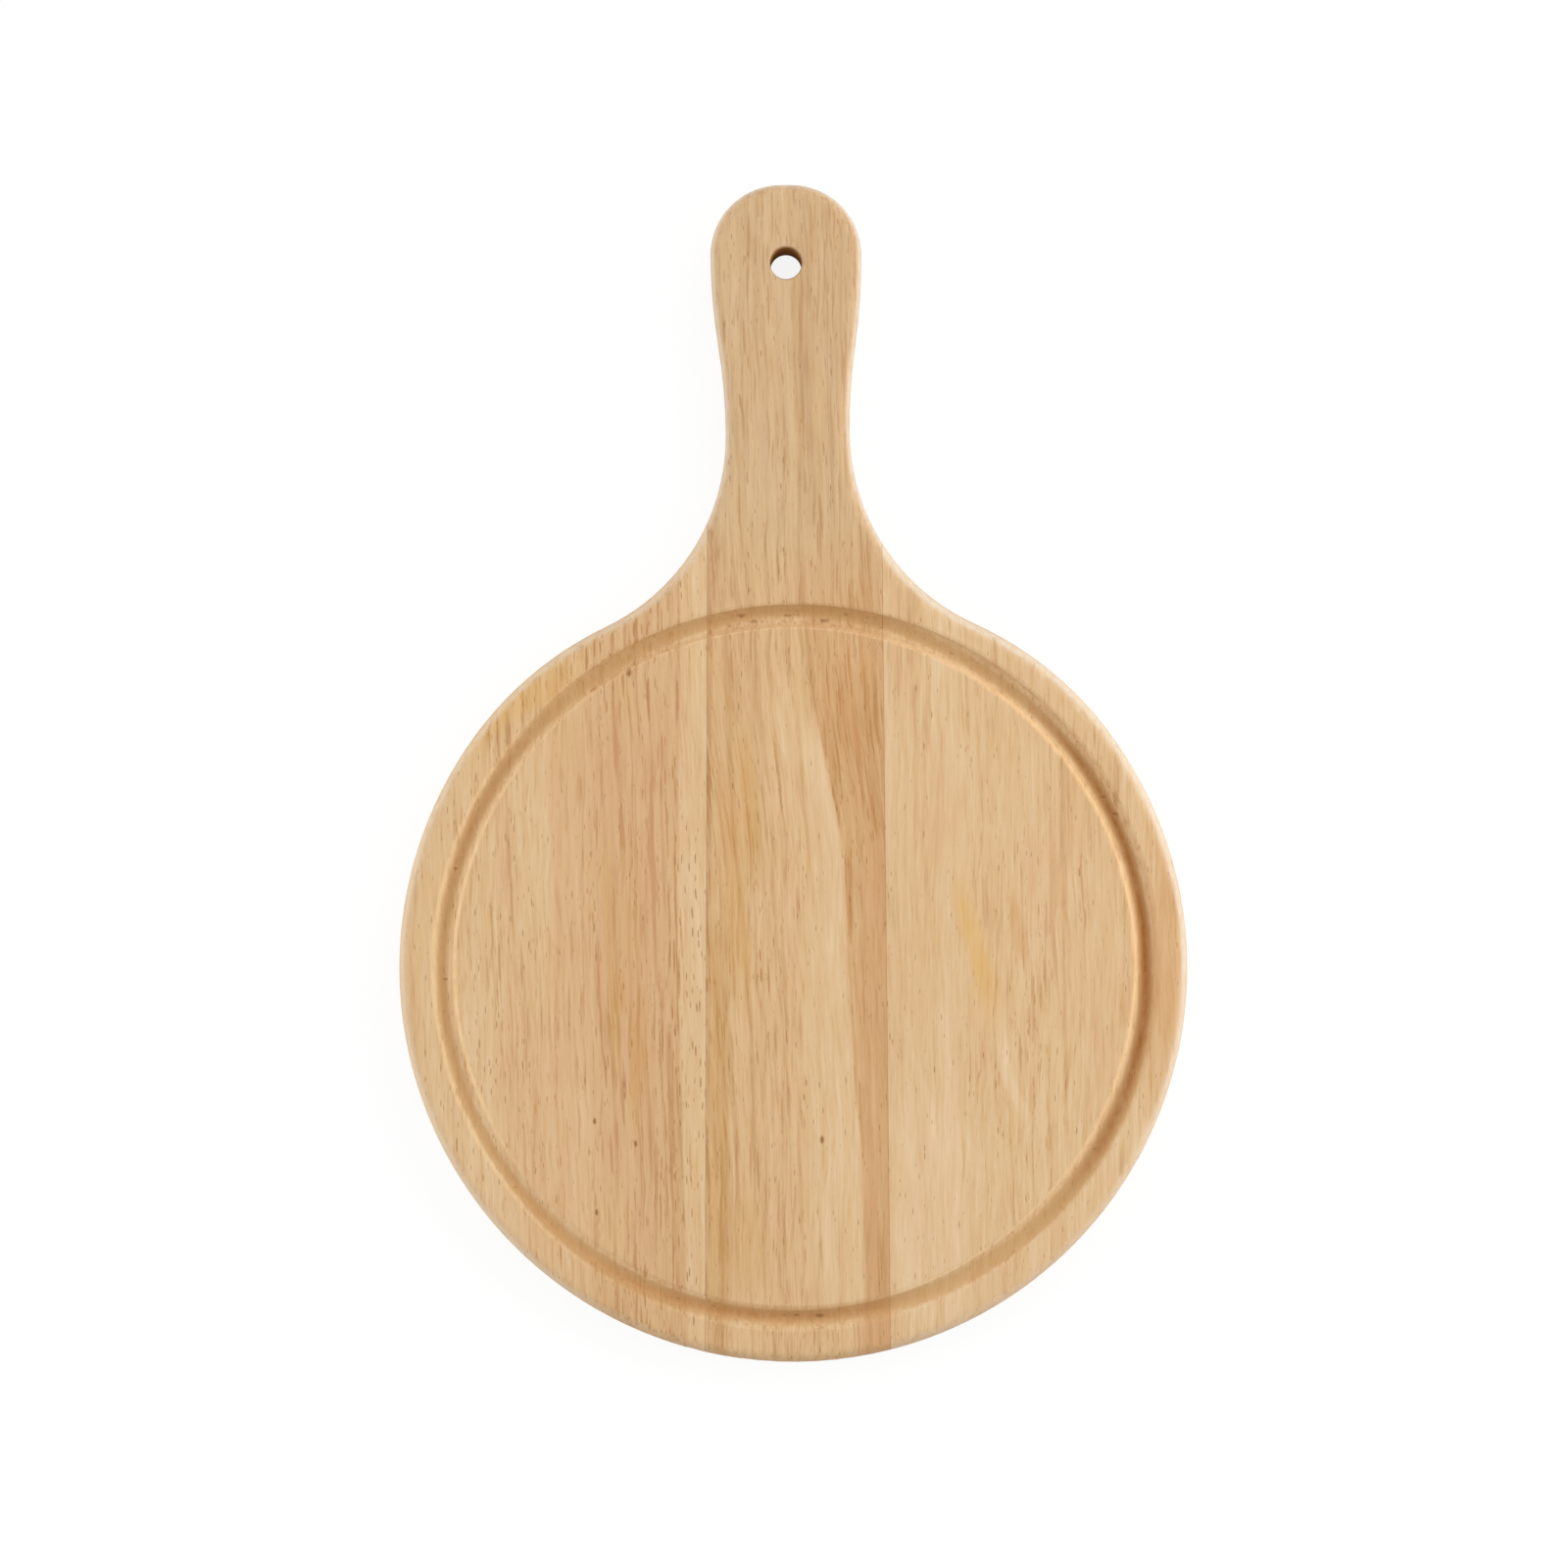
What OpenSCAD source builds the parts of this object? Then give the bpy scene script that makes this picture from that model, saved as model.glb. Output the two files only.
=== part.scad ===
// Round pizza serving board with a handle, glued up from three staves of rubberwood.
// The origin is the middle of the round plate on the underside, the handle runs along +Y and up is +Z.

/* [Plate] */
// Width of the round plate across the staves
plate_d = 300; // [240:1:360]
// Thickness of the board
board_t = 15; // [12:0.5:20]
// Length of the handle beyond the plate's circle
handle_l = 148; // [130:1:180]
// Radius of the rounded edge all round, on both faces
edge_r = 5; // [2:0.5:5.5]
// Radius of the plate's upper shoulders as a share of the plate's radius, a little tighter than the plate itself
shoulder_share = 0.88; // [0.8:0.01:0.9]

/* [Handle] */
// Width of the grip at its waist
waist_w = 47.2; // [44:0.2:56]
// Radius of the two corners of the handle's end
corner_r = 26.8; // [18:0.2:27]

/* [Hanging hole] */
// Width of the hanging hole
hole_d = 12; // [8:0.5:16]
// Distance from the end of the handle to the hole's middle
hole_inset = 30.6; // [24:0.1:40]
// Width of the small bevel round both rims of the hole
hole_bevel = 0.7; // [0.3:0.1:1.2]

/* [Juice groove] */
// Distance from the plate's rim to the groove's middle line
groove_inset = 16.8; // [14:0.2:40]
// Radius of the groove's round section
groove_section_r = 5; // [4:0.1:6]
// Mean depth of the groove
groove_depth = 2.2; // [2:0.1:3.4]
// Angle by which the routed ring leans, so that it runs deeper on one side
groove_lean = 0.43; // [0:0.01:0.5]
// Direction of the deeper side, from the right-hand side towards the handle
groove_deep_side = 40; // [0:5:360]
// Distance of the ring's middle from the plate's middle, towards the deeper side
groove_offset = 0.8; // [0:0.1:1.5]
// Extra width of the softened lips on each side of the groove
lip_w = 1; // [0.5:0.1:1.2]

/* [Staves] */
// Distance from the handle's line to the left glue seam, level with the plate's middle
left_seam_x = 33; // [30:0.1:40]
// Distance from the handle's line to the right glue seam
right_seam_x = 35.3; // [30:0.1:40]
// Angle at which the left seam slants towards the handle
left_seam_slant = 0.75; // [0:0.05:1]
// Thickness of the hardened glue in each seam
glue_t = 0.2; // [0.1:0.05:0.4]

/* [Hidden] */
$fn = 96;

plate_r = plate_d / 2;
shoulder_r = shoulder_share * plate_r;
end_y = plate_r + handle_l;
hole_y = end_y - hole_inset;
groove_ring_r = plate_r - groove_inset;
// Every piece that trims another runs this far past it
reach = 2 * (plate_d + handle_l);
// Width of the rim that each arc is turned with, and how far the outline of the wood inside it lies from the edge
rim_w = 14;
inner_inset = 9;
plate_steps = 12;
arc_steps = 4;
// Share of an arc that is turned from each of its ends
lap_share = 0.8;
// Angles that the rims are turned through as far as past the seams
plate_sweep = 125;
neck_sweep = 56;
bottom_sweep = 30;

// The outline is a chain of arcs, and each one leaves the last in the same direction.
// The directions in which they meet have short sines and cosines, so that the rims meet exactly.
shoulder_start = atan2(4, 3);
middle_turn = atan2(44, 117);
small_turn = atan2(237, 3116);
neck_start = middle_turn + small_turn;
side_lean = 2 * small_turn;

// A bearing is measured from the handle's line, clockwise seen from above
function point_at(bearing, distance) = [distance * sin(bearing), distance * cos(bearing)];
function to_hundredth(size) = round(100 * size) / 100;
function lap_of(turn) = round(lap_share * turn);

shoulder_shift = plate_r - shoulder_r;
shoulder_c = point_at(shoulder_start, shoulder_shift);
neck_start_x = shoulder_c[0] + shoulder_r * sin(neck_start);
// Radius of the hollow curve from the plate into the grip, which ends at the waist
neck_r = to_hundredth((neck_start_x - waist_w / 2) / (1 - sin(neck_start)));
neck_c = shoulder_c + point_at(neck_start, shoulder_r + neck_r);
waist_x = neck_c[0] - neck_r;
// The grip's sides are two equal curves, a hollow one and a bulging one, from the waist to the corners of the end
side_r = to_hundredth((end_y - corner_r - neck_c[1]) / (2 * sin(side_lean)));
waist_c = [waist_x + side_r, neck_c[1]];
flank_c = waist_c + point_at(side_lean - 90, 2 * side_r);
corner_c = flank_c + [side_r - corner_r, 0];

// Frames at the arcs' centres: the shoulder frames have Y along the line where the shoulder starts or ends
module shoulder_line() {
    rotate([0, 0, -shoulder_start]) children();
}
module neck_line() {
    shoulder_line() translate([0, shoulder_shift, 0]) rotate([0, 0, shoulder_start])
        rotate([0, 0, -middle_turn]) rotate([0, 0, -small_turn]) children();
}
module leaning_left(times) {
    rotate([0, 0, times * small_turn]) rotate([0, 0, times * small_turn]) children();
}

// The rim's section, with the outline at the origin and the wood on the left
module rim_corner() {
    intersection() {
        circle(r = edge_r);
        square(edge_r);
    }
}
module rim_section() {
    flat_h = board_t - 2 * edge_r;
    translate([-rim_w, 0]) square([rim_w - edge_r, board_t]);
    translate([-edge_r, edge_r]) square([edge_r, flat_h]);
    translate([-edge_r, edge_r + flat_h]) rim_corner();
    translate([-edge_r, edge_r]) mirror([0, 1]) rim_corner();
}

// A stretch of rim along a bulging or a hollow arc, from a direction and turning left
module bulging_rim(r, first, sweep) {
    rotate_extrude(start = first, angle = sweep) translate([r, 0]) rim_section();
}
module hollow_rim(r, first, sweep) {
    rotate_extrude(start = first, angle = sweep) translate([r, 0]) mirror([1, 0]) rim_section();
}

// The rim of the plate, the shoulder and the neck, up to past the seam.
// A curve with both ends in sight is turned from each of them, and the two stretches share its middle.
module plate_rim() {
    shoulder_lap = lap_of(shoulder_start - neck_start);
    shoulder_line() {
        bulging_rim(plate_r, 90 - plate_sweep, plate_sweep);
        translate([0, shoulder_shift, 0]) bulging_rim(shoulder_r, 90, shoulder_lap);
    }
    neck_line() {
        bulging_rim(shoulder_r, 90 - shoulder_lap, shoulder_lap);
        translate([0, shoulder_r + neck_r, 0]) hollow_rim(neck_r, 270 - neck_sweep, neck_sweep);
    }
}
// The right-hand rim of the handle, from below the neck to past the middle of the end
module grip_rim() {
    side_lap = lap_of(side_lean);
    translate(concat(neck_c, 0)) {
        hollow_rim(neck_r, 180, neck_sweep);
        translate([side_r - neck_r, 0, 0]) {
            hollow_rim(side_r, 180 - side_lap, side_lap);
            leaning_left(-1) {
                hollow_rim(side_r, 180, side_lap);
                translate([-2 * side_r, 0, 0]) {
                    bulging_rim(side_r, 0, side_lap);
                    leaning_left(1) {
                        bulging_rim(side_r, -side_lap, side_lap);
                        translate([side_r - corner_r, 0, 0]) end_rim();
                    }
                }
            }
        }
    }
}
module end_rim() {
    run = (1 + lap_share) * corner_c[0];
    bulging_rim(corner_r, 0, 90);
    translate([-run, corner_r, 0]) rotate([90, 0, 90]) linear_extrude(height = run) rim_section();
}
module bottom_rim() {
    bulging_rim(plate_r, 270 - bottom_sweep, 2 * bottom_sweep);
}

// The wood inside the rims, whose outline lies under them, well inside the rounded edge
function inner_points(centre, radius, first, last, steps) =
    [for (i = [1 : steps]) centre + point_at(first + (last - first) * i / steps, radius)];
function mirrored(points) = [for (i = [len(points) - 1 : -1 : 1]) [-points[i][0], points[i][1]]];
inner_right = concat(
    [[0, inner_inset - plate_r]],
    inner_points([0, 0], plate_r - inner_inset, 180, shoulder_start, plate_steps),
    inner_points(shoulder_c, shoulder_r - inner_inset, shoulder_start, neck_start, arc_steps),
    inner_points(neck_c, neck_r + inner_inset, neck_start + 180, 270, arc_steps),
    inner_points(waist_c, side_r + inner_inset, 270, side_lean + 270, arc_steps),
    inner_points(flank_c, side_r - inner_inset, side_lean + 90, 90, arc_steps),
    inner_points(corner_c, corner_r - inner_inset, 90, 0, arc_steps)
);
module inner_wood() {
    linear_extrude(height = board_t) polygon(concat(inner_right, mirrored(inner_right)));
}

// What the router takes out
module groove_cutter() {
    section_rise = groove_section_r - groove_depth;
    groove_w = 2 * sqrt(groove_section_r * groove_section_r - section_rise * section_rise);
    lip_section_r = 3 * groove_section_r;
    lip_half_w = groove_w / 2 + lip_w;
    lip_rise = sqrt(lip_section_r * lip_section_r - lip_half_w * lip_half_w);
    lip_lean = groove_lean * lip_half_w / lip_section_r * section_rise / groove_w;
    translate(concat(point_at(90 - groove_deep_side, groove_offset), board_t))
        rotate([0, 0, groove_deep_side]) {
            rotate([0, groove_lean, 0]) rotate_extrude()
                translate([groove_ring_r, section_rise]) circle(r = groove_section_r);
            rotate([0, lip_lean, 0]) rotate_extrude()
                translate([groove_ring_r, lip_rise]) circle(r = lip_section_r);
        }
}
module hole_cutter() {
    bevelled_r = hole_d / 2 + 2 * hole_bevel;
    translate([0, hole_y, 0]) {
        translate([0, 0, -hole_bevel]) cylinder(h = board_t + 2 * hole_bevel, d = hole_d);
        translate([0, 0, -hole_bevel]) cylinder(h = 2 * hole_bevel, r1 = bevelled_r, r2 = hole_d / 2);
        translate([0, 0, board_t - hole_bevel]) cylinder(h = 2 * hole_bevel, r1 = hole_d / 2, r2 = bevelled_r);
    }
}

// All of space to the left and to the right of each seam, moved sideways by half the glue
module left_of_left_seam(shift) {
    rotate([0, 0, -left_seam_slant]) translate([shift - left_seam_x - reach, -reach, -reach])
        cube([reach, 2 * reach, 2 * reach]);
}
module right_of_left_seam(shift) {
    rotate([0, 0, -left_seam_slant]) translate([shift - left_seam_x, -reach, -reach])
        cube([reach, 2 * reach, 2 * reach]);
}
module left_of_right_seam(shift) {
    translate([right_seam_x + shift - reach, -reach, -reach]) cube([reach, 2 * reach, 2 * reach]);
}
module right_of_right_seam(shift) {
    translate([right_seam_x + shift, -reach, -reach]) cube([reach, 2 * reach, 2 * reach]);
}

module plate_blank() {
    inner_wood();
    plate_rim();
}
module grip_blank() {
    inner_wood();
    bottom_rim();
    grip_rim();
    mirror([1, 0, 0]) grip_rim();
}

module left_stave() {
    color("burlywood") difference() {
        intersection() {
            mirror([1, 0, 0]) plate_blank();
            left_of_left_seam(-glue_t / 2);
        }
        groove_cutter();
    }
}
module handle_stave() {
    color("tan") difference() {
        intersection() {
            grip_blank();
            right_of_left_seam(glue_t / 2);
            left_of_right_seam(-glue_t / 2);
        }
        groove_cutter();
        hole_cutter();
    }
}
module right_stave() {
    color("wheat") difference() {
        intersection() {
            plate_blank();
            right_of_right_seam(glue_t / 2);
        }
        groove_cutter();
    }
}
module left_glue_line() {
    color("peru") difference() {
        intersection() {
            mirror([1, 0, 0]) plate_blank();
            right_of_left_seam(-glue_t / 2);
            left_of_left_seam(glue_t / 2);
        }
        groove_cutter();
    }
}
module right_glue_line() {
    color("peru") difference() {
        intersection() {
            plate_blank();
            right_of_right_seam(-glue_t / 2);
            left_of_right_seam(glue_t / 2);
        }
        groove_cutter();
    }
}

left_stave();
handle_stave();
right_stave();
left_glue_line();
right_glue_line();
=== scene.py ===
"""Looks of a round pizza serving board with a handle, edge-glued from three staves of rubberwood.

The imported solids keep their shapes, so this script gives each stave the wood that it is cut from. The wood
fills space: its growth rings, fibres and pores run along the handle, and the board's faces, rims, groove and
hanging hole cut through them. All places in the wood are in millimetres in the board's own frame, with the
origin in the middle of the round plate's underside and the handle along +Y.
"""

import logging
import math
from dataclasses import dataclass
from enum import Enum
from functools import partial, reduce
from typing import Optional, Sequence, Union

import bpy
from mathutils import Euler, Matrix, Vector

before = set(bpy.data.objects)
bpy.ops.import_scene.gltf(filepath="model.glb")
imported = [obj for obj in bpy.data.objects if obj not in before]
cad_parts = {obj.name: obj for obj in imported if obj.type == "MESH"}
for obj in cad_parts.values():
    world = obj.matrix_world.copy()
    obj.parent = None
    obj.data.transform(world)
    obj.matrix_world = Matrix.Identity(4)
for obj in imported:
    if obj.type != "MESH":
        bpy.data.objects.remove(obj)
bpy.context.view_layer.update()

MM = 0.001
LOG = logging.getLogger("board")

Socket = bpy.types.NodeSocket
Source = Union[Socket, float]
Point = tuple[float, float]
Place = tuple[float, float, float]
Colour = tuple[float, float, float]
Tint = tuple[Colour, float]
Shown = Union[Socket, Colour]

# Where a stave's figure can wander: along the board from its lowest place, and across it on both sides
COURSE_LOW = -160.0
COURSE_RUN = 470.0
COURSE_SIDE = 160.0

# What stretches a noise from its own range, 0 to 1, to one round zero, mostly from -1 to 1
NOISE_SPAN = 4.0

# How strong each finer layer of a noise is beside the one before
NOISE_ROUGHNESS = 0.6


def from_screen(red: float, green: float, blue: float) -> Colour:
    """Turns a colour as a screen shows it into the light that it stands for.

    Args:
        red: Red, from 0 to 255.
        green: Green, from 0 to 255.
        blue: Blue, from 0 to 255.

    Returns:
        The three linear values, from 0 to 1.
    """

    def linear(value: float) -> float:
        """Returns one linear value."""
        share = value / 255
        return share / 12.92 if share <= 0.04045 else ((share + 0.055) / 1.055) ** 2.4

    return linear(red), linear(green), linear(blue)


class Blend(Enum):
    """How one colour is laid over another."""

    OVER = "MIX"
    MULTIPLY = "MULTIPLY"


class Op(Enum):
    """The sums that a node can work out."""

    ADD = "ADD"
    SUBTRACT = "SUBTRACT"
    MULTIPLY = "MULTIPLY"
    MULTIPLY_ADD = "MULTIPLY_ADD"
    DIVIDE = "DIVIDE"
    MAXIMUM = "MAXIMUM"
    ABSOLUTE = "ABSOLUTE"
    SQRT = "SQRT"
    FRACT = "FRACT"
    ARCTAN2 = "ARCTAN2"


@dataclass(frozen=True)
class Ramp:
    """A smooth change from a first to a last level, while what it reads goes from low to high."""

    low: float
    high: float
    first: float = 0.0
    last: float = 1.0


@dataclass(frozen=True)
class Texture:
    """A cloudy noise along the board: how wide and long its grains are, and how many finer layers it has."""

    width: float
    length: float
    detail: float


@dataclass(frozen=True)
class Relief:
    """How strongly a surface's relief shows, and how deep it is, in millimetres."""

    strength: float
    depth: float


class Sheet:
    """The node sheet of a material or of the room, with a short call for each kind of node that is needed."""

    def __init__(self, holder: Union[bpy.types.Material, bpy.types.World]) -> None:
        """Empties the sheet.

        Args:
            holder: The material, or the world that makes the room.
        """
        holder.use_nodes = True
        self.nodes = holder.node_tree.nodes
        self.links = holder.node_tree.links
        self.nodes.clear()

    def add(self, kind: str, *inputs: Source, **settings: object) -> bpy.types.Node:
        """Adds a node.

        Args:
            kind: The node's type, without its common prefix.
            *inputs: What its first sockets are fed with.
            **settings: Properties of the node and their values.

        Returns:
            The node.
        """
        node = self.nodes.new("ShaderNode" + kind)
        for key, value in settings.items():
            setattr(node, key, value)
        for socket, value in zip(node.inputs, inputs):
            self.feed(socket, value)
        return node

    def feed(self, socket: Socket, value: Union[Source, Sequence[float]]) -> None:
        """Links a socket to another one, or sets it to a plain value.

        Args:
            socket: The socket that is fed.
            value: The other socket, a number, or the parts of a colour or a place.
        """
        if isinstance(value, bpy.types.NodeSocket):
            self.links.new(value, socket)
        elif isinstance(value, (int, float)):
            socket.default_value = value
        else:
            socket.default_value = [*value, 1.0] if len(socket.default_value) == 4 else list(value)

    def sum(self, operation: Op, first: Source, second: Source = 0.0, third: Source = 0.0) -> Socket:
        """Works out a sum with as many of the numbers as the operation takes."""
        return self.add("Math", first, second, third, operation=operation.value).outputs[0]

    def total(self, *terms: Source) -> Source:
        """Adds up any number of terms."""
        return reduce(partial(self.sum, Op.ADD), terms)

    def product(self, *factors: Source) -> Source:
        """Multiplies any number of factors."""
        return reduce(partial(self.sum, Op.MULTIPLY), factors)

    def distance(self, side: Source, away: Source) -> Socket:
        """Works out how far it is from here to what lies so far to the side and so far away."""
        return self.sum(Op.SQRT, self.total(self.product(side, side), self.product(away, away)))

    def step(self, value: Source, ramp: Ramp) -> Socket:
        """Reads a value and goes smoothly from a ramp's first level to its last."""
        values = (value, ramp.low, ramp.high, ramp.first, ramp.last)
        return self.add("MapRange", *values, interpolation_type="SMOOTHSTEP").outputs[0]

    def near(self, value: Source, reach: float, soft: float) -> Socket:
        """Is 1 round zero, and fades to 0 where the value's size passes reach, over soft on either side."""
        return self.step(self.sum(Op.ABSOLUTE, value), Ramp(reach - soft, reach + soft, 1.0, 0.0))

    def window(self, value: Source, low: float, high: float, soft: float) -> Source:
        """Is 1 between two values, and fades to 0 at each of them, over soft on either side."""
        rise = self.step(value, Ramp(low - soft, low + soft))
        return self.product(rise, self.step(value, Ramp(high - soft, high + soft, 1.0, 0.0)))

    def parts(self, vector: Socket) -> Sequence[Socket]:
        """Splits a place or a direction into its three numbers."""
        return tuple(self.add("SeparateXYZ", vector).outputs)

    def vector(self, x: Source, y: Source, z: Source) -> Socket:
        """Joins three numbers into a place."""
        return self.add("CombineXYZ", x, y, z).outputs[0]

    def place(self, scale: float) -> Socket:
        """Reads where on the board a point lies.

        Args:
            scale: What the place in metres is multiplied by.

        Returns:
            The place.
        """
        scaled = self.add("VectorMath", self.add("TexCoord").outputs["Object"], operation="SCALE")
        self.feed(scaled.inputs["Scale"], scale)
        return scaled.outputs[0]

    def noise(self, place: Socket, detail: float) -> Socket:
        """Reads a cloudy noise.

        Args:
            place: Where it is read; its grains are about one unit wide.
            detail: How many finer layers it has.

        Returns:
            A number round zero, mostly from -1 to 1.
        """
        node = self.add("TexNoise", place, noise_dimensions="3D")
        self.feed(node.inputs["Scale"], 1.0)
        self.feed(node.inputs["Detail"], detail)
        self.feed(node.inputs["Roughness"], NOISE_ROUGHNESS)
        return self.sum(Op.MULTIPLY_ADD, node.outputs["Fac"], NOISE_SPAN, -NOISE_SPAN / 2)

    def cells(self, place: Socket) -> tuple[Socket, Socket]:
        """Reads scattered points.

        Args:
            place: Where they are read; they are about one unit apart.

        Returns:
            The distance to the nearest point, and a random share of that point's own.
        """
        node = self.add("TexVoronoi", place, voronoi_dimensions="3D", feature="F1")
        self.feed(node.inputs["Scale"], 1.0)
        return node.outputs["Distance"], self.add("SeparateColor", node.outputs["Color"]).outputs[0]

    def lay(self, share: Source, under: Shown, over: Shown, how: Blend = Blend.OVER) -> Socket:
        """Lays one colour over another.

        Args:
            share: How much of it is laid on, from 0 to 1.
            under: The colour that is there.
            over: The colour that is laid on.
            how: The way of laying it on.

        Returns:
            The new colour.
        """
        node = self.add("Mix", data_type="RGBA", blend_type=how.value, clamp_factor=True)
        colours = [socket for socket in node.inputs if socket.type == "RGBA"]
        self.feed(node.inputs["Factor"], share)
        self.feed(colours[0], under)
        self.feed(colours[1], over)
        return next(socket for socket in node.outputs if socket.type == "RGBA")

    def curve(self, value: Source, points: Sequence[Point]) -> Socket:
        """Reads a smooth curve through some points, level beyond the first and the last.

        Args:
            value: The value that is read, from 0 to 1.
            points: The curve's points in rising order, with both numbers from 0 to 1.

        Returns:
            The curve's height there.
        """
        node = self.add("FloatCurve")
        curve = node.mapping.curves[0]
        first, last = points[0], points[-1]
        curve.points[0].location, curve.points[1].location = (0.0, first[1]), (1.0, last[1])
        for point in points:
            if 0.0 < point[0] < 1.0:
                curve.points.new(*point)
        node.mapping.update()
        self.feed(node.inputs["Value"], value)
        return node.outputs[0]

    def course(self, along: Socket, points: Sequence[Point]) -> Socket:
        """Follows a line that wanders sideways as it runs up the board.

        Args:
            along: The place along the handle.
            points: Some places along the handle, each with the line's place across it.

        Returns:
            The line's place across the board.
        """
        width = 2 * COURSE_SIDE
        shares = sorted(((y - COURSE_LOW) / COURSE_RUN, (x + COURSE_SIDE) / width) for y, x in points)
        run = self.sum(Op.MULTIPLY_ADD, along, 1 / COURSE_RUN, -COURSE_LOW / COURSE_RUN)
        return self.sum(Op.MULTIPLY_ADD, self.curve(run, shares), width, -COURSE_SIDE)

    def shade(self, colour: Shown, roughness: Socket, height: Source, relief: Relief) -> bpy.types.Node:
        """Ends the sheet with a shader that has a colour, a roughness and a relief.

        Args:
            colour: The colour.
            roughness: The roughness.
            height: The relief's height.
            relief: How the relief shows.

        Returns:
            The shader.
        """
        shader = self.add("BsdfPrincipled")
        self.feed(shader.inputs["Base Color"], colour)
        self.feed(shader.inputs["Roughness"], roughness)
        bump = self.add("Bump")
        self.feed(bump.inputs["Strength"], relief.strength)
        self.feed(bump.inputs["Distance"], relief.depth * MM)
        self.feed(bump.inputs["Height"], height)
        self.feed(shader.inputs["Normal"], bump.outputs[0])
        self.add("OutputMaterial", shader.outputs[0])
        return shader


@dataclass(frozen=True)
class Tones:
    """The colours of the wood."""

    plain: Colour = from_screen(219, 182, 136)
    dark: Colour = from_screen(182, 134, 84)
    pale: Colour = from_screen(234, 207, 169)
    pore: Colour = from_screen(140, 88, 42)
    rosy: Colour = from_screen(214, 169, 125)
    golden: Colour = from_screen(218, 180, 120)


@dataclass(frozen=True)
class Sway(Texture):
    """One of the ways in which the fibres sway, and how far they do so, in millimetres."""

    reach: float


@dataclass(frozen=True)
class Fibres(Texture):
    """One layer of fibres, and how strongly it shows."""

    strength: float


@dataclass(frozen=True)
class Lines(Texture):
    """Scattered thin dark lines, and how their tone follows from the noise."""

    shown: Ramp


@dataclass(frozen=True)
class Dashes:
    """Short dark dashes: how far apart they lie, how large they get, and how strongly they show.

    Their size is a share of the distance between them, and the smallest are as faint as faintest says.
    """

    across: float
    along: float
    smallest: float
    largest: float
    strength: float = 0.5
    faintest: float = 0.4
    edge: Ramp = Ramp(-0.12, 0.0, 1.0, 0.0)


@dataclass(frozen=True)
class Pores:
    """The open pores: how far apart they lie, how large they get, and in which bands they are larger."""

    across: float = 0.95
    along: float = 7.0
    smallest: float = -0.1
    spread: float = 0.3
    bands: Fibres = Fibres(5.0, 60.0, 1.0, strength=0.1)
    edge: Ramp = Ramp(-0.06, 0.02, 1.0, 0.0)
    share: float = 0.55


@dataclass(frozen=True)
class Rings:
    """Where the tree's heart lies beside a stave, how it leans away up the board, and how its rings show.

    Late and end say how a ring's tone rises and falls over a share of its width, and level is the share of
    its strength that is taken off again, so that the wood gets no darker on the whole.
    """

    heart_x: float
    heart_z: float
    spacing: float
    strength: float
    wander: float
    lean_x: float = 0.0
    lean_z: float = 0.0
    sway: Texture = Texture(18.0, 70.0, 2.0)
    late: Ramp = Ramp(0.15, 0.9)
    end: Ramp = Ramp(0.9, 1.0, 1.0, 0.0)
    level: float = 0.4


@dataclass(frozen=True)
class Patches:
    """The broad patches of rosy and golden wood, and how unevenly a streak takes its tint."""

    broad: Texture = Texture(9.0, 60.0, 2.0)
    rosy: Ramp = Ramp(0.1, 1.3, 0.0, 0.4)
    golden: Ramp = Ramp(-1.3, -0.1, 0.4, 0.0)
    fine: Texture = Texture(2.4, 40.0, 2.0)
    uneven: Ramp = Ramp(-1.0, 1.0, 0.6, 1.2)


@dataclass(frozen=True)
class Streak:
    """A stripe or a patch of wood with its own tone, lines, pores or tint, which follows a line up the board.

    It reaches from low to high. Fade is half the length of its ends, soft half the width of its edges, and
    ragged how far fibres run over those. A tint is a colour and the share of it that is laid on.
    """

    points: tuple[Point, ...]
    half_width: float
    tone: float = 0.0
    lined: float = 0.0
    pored: float = 0.0
    tint: Optional[Tint] = None
    low: float = -200.0
    high: float = 400.0
    fade: float = 15.0
    soft: float = 1.2
    ragged: float = 0.4


@dataclass(frozen=True)
class Speck:
    """A small dark fleck in the wood, longer than it is wide."""

    across: float
    along: float
    radius: float = 0.9
    flatness: float = 0.5
    core: float = 0.3
    share: float = 0.8


class Mark(Enum):
    """The groove's colouring at each bearing: router marks, painted shade and painted lip highlights, each
    under the name that a cut has for it.
    """

    BURN = "burn"
    LEAN = "lean"
    REACH = "reach"
    TORN = "torn"
    INNER_LIP = "inner_lip"
    OUTER_LIP = "outer_lip"


@dataclass(frozen=True)
class Cut:
    """How the groove looks at one bearing round the plate, in degrees.

    The browning lies off to the outside by lean and goes as far as reach to either side, in millimetres; it
    is partly router burn and partly painted shade. Burn is how strongly it darkens the deepest line, partly
    as router burn and partly as painted shade, torn how many chips the router has torn out, and the two lip
    values say how strong the painted highlight on each lip is.
    """

    bearing: float
    burn: float
    lean: float
    reach: float
    torn: float
    inner_lip: float
    outer_lip: float = 0.0


@dataclass(frozen=True)
class Chips:
    """The chips that the router tore out of the groove: how far apart they lie, and how large they get.

    A chip's size is smallest, with up to spread more by chance, and up to torn more where the groove is most
    torn. Inner and outer say how far outside the groove's middle line they can lie.
    """

    across: float = 4.4
    along: float = 2.4
    smallest: float = -0.4
    spread: float = 0.6
    torn: float = 0.42
    ragged: float = 0.3
    edge: Ramp = Ramp(-0.3, 0.0, 0.55, 0.0)
    inner: float = -1.9
    outer: float = 2.4
    soft: float = 0.7
    colour: Colour = from_screen(122, 76, 38)


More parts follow.
